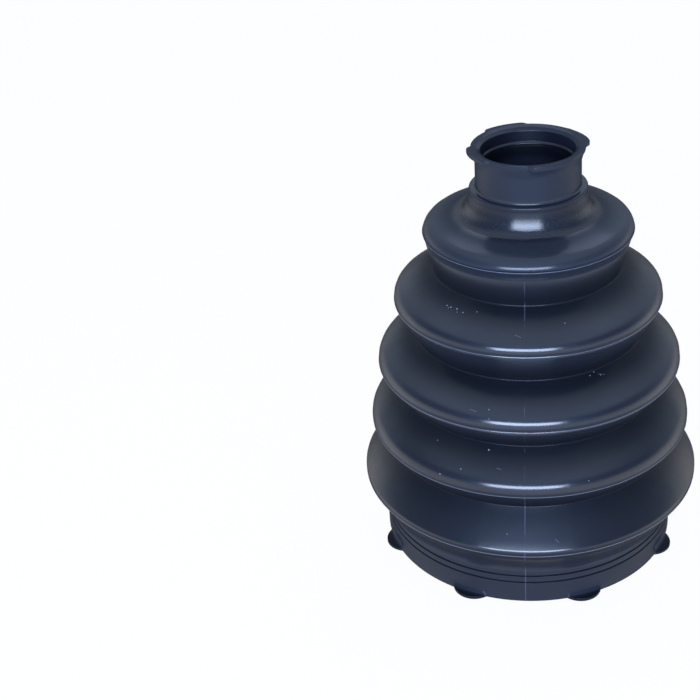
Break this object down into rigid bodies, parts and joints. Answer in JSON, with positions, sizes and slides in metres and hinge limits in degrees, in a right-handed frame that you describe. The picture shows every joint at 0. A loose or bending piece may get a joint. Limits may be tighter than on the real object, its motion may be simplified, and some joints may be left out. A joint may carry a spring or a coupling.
{
  "type": "rubber bellows boot",
  "caption": "Tapered black rubber bellows boot: narrow neck with a tabbed rim for the shaft, stepped folds, wide cuff with rim lugs for the joint housing.",
  "frame": {"origin": "centre of the big end's lower edge, on the boot's axis", "axes": "+Z along the boot's axis towards the small end; the mould's parting line lies in the YZ plane, and -Y is the side that faces the viewer"},
  "size_m": [0.0922, 0.0922, 0.1139],
  "materials": {
    "rubber": "satin"
  },
  "bodies": {
    "root": {"bellows_boot": "rubber"}
  },
  "joints": []
}
